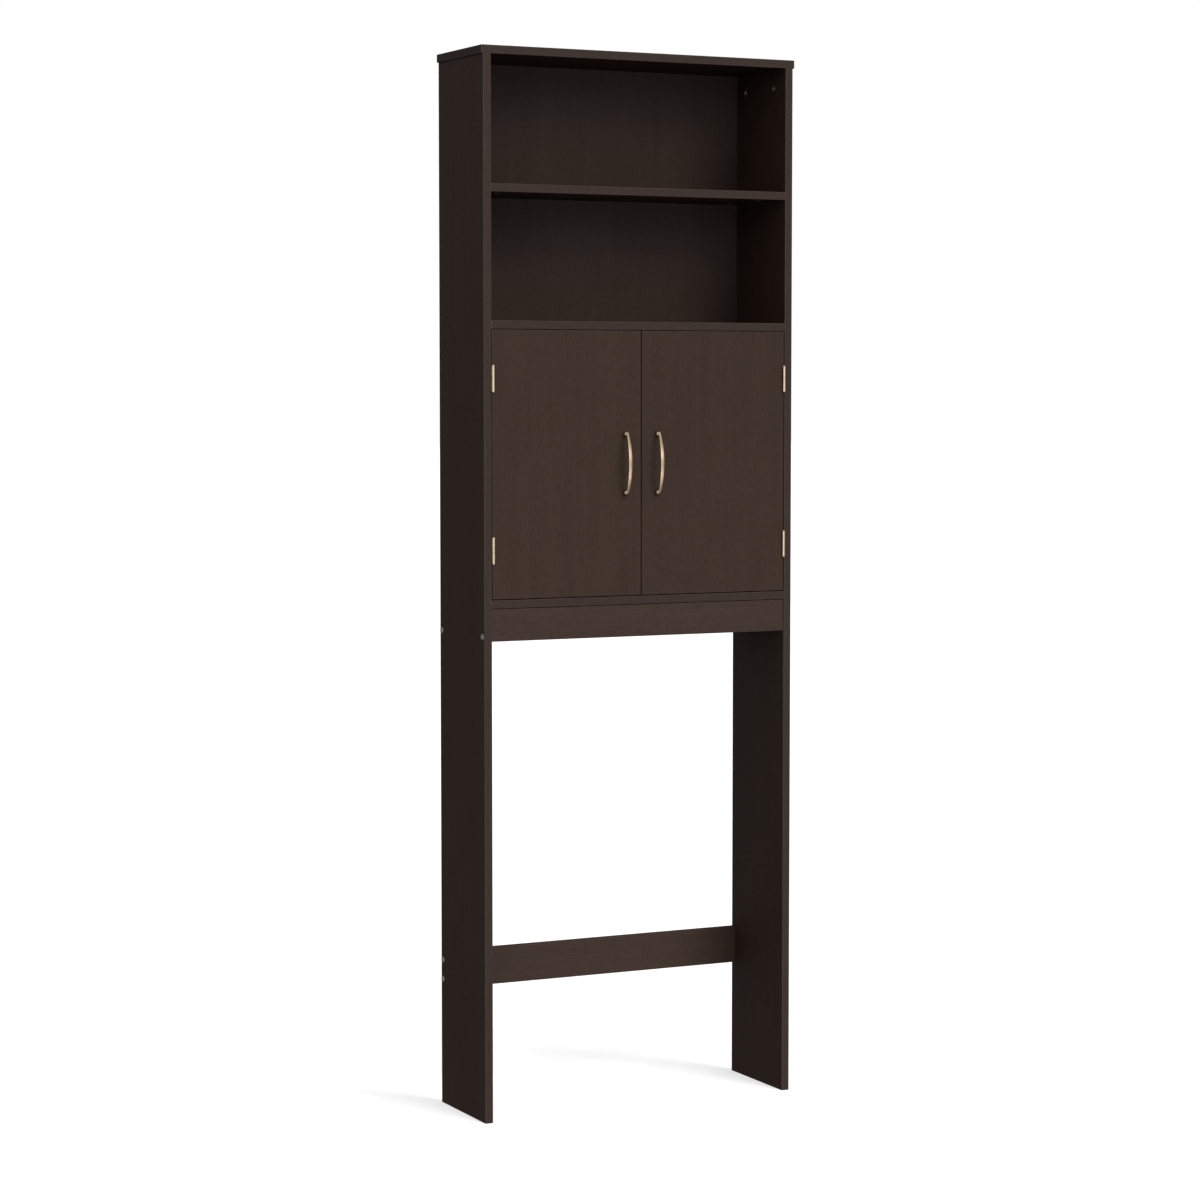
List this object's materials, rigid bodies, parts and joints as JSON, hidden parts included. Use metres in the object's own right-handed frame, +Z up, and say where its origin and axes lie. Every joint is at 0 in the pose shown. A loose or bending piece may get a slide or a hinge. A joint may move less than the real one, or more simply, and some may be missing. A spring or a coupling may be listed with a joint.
{
  "type": "over the toilet storage cabinet",
  "caption": "Tall dark board cabinet that stands astride a toilet: open shelves over a two-door cupboard with bow handles, on two side panels.",
  "frame": {"origin": "on the floor, at the middle of the overall box, handles included", "axes": "+Z up, doors and open shelves face -Y, +X to the right of someone facing the doors"},
  "size_m": [0.642, 0.224, 1.95],
  "materials": {
    "espresso_board": "satin dark espresso laminate",
    "espresso_back": "matt dark thin board",
    "satin_brass": "satin champagne brass",
    "zinc_steel": "zinc plated",
    "beech": "raw beech",
    "dark_plastic": "moulded dark brown"
  },
  "bodies": {
    "carcass": {"top_panel": "espresso_board", "left_side_panel": "espresso_board", "right_side_panel": "espresso_board", "upper_shelf": "espresso_board", "middle_shelf": "espresso_board", "inner_shelf": "espresso_board", "bottom_panel": "espresso_board", "front_rail": "espresso_board", "rear_rail": "espresso_board", "lower_stretcher": "espresso_board", "back_panel": "espresso_back", "cam_locks": "zinc_steel", "cam_bolts": "zinc_steel", "rail_screws": "zinc_steel", "shelf_pins": "zinc_steel", "catch_magnets": "zinc_steel", "catch_screws": "zinc_steel", "wood_dowels": "beech", "frame_leaf_screws": "satin_brass", "left_upper_frame_leaf": "satin_brass", "left_upper_hinge_pin": "satin_brass", "left_lower_frame_leaf": "satin_brass", "left_lower_hinge_pin": "satin_brass", "left_catch_housing": "dark_plastic", "right_upper_frame_leaf": "satin_brass", "right_upper_hinge_pin": "satin_brass", "right_lower_frame_leaf": "satin_brass", "right_lower_hinge_pin": "satin_brass", "right_catch_housing": "dark_plastic"},
    "left_door_swing": {"left_door": "espresso_board", "left_handle": "satin_brass", "left_handle_screws": "zinc_steel", "left_upper_door_leaf": "satin_brass", "left_lower_door_leaf": "satin_brass", "left_door_leaf_screws": "satin_brass", "left_strike_plate": "zinc_steel", "left_strike_screw": "zinc_steel"},
    "right_door_swing": {"right_door": "espresso_board", "right_handle": "satin_brass", "right_handle_screws": "zinc_steel", "right_upper_door_leaf": "satin_brass", "right_lower_door_leaf": "satin_brass", "right_door_leaf_screws": "satin_brass", "right_strike_plate": "zinc_steel", "right_strike_screw": "zinc_steel"}
  },
  "joints": [
    {"name": "left_door_hinge", "type": "hinge", "parent": "carcass", "child": "left_door_swing", "pos_m": [-0.3001, -0.0908, 1.2007], "axis": [0, 0, -1], "range_deg": [0, 175]},
    {"name": "right_door_hinge", "type": "hinge", "parent": "carcass", "child": "right_door_swing", "pos_m": [0.3001, -0.0908, 1.2007], "axis": [0, 0, 1], "range_deg": [0, 175]}
  ]
}
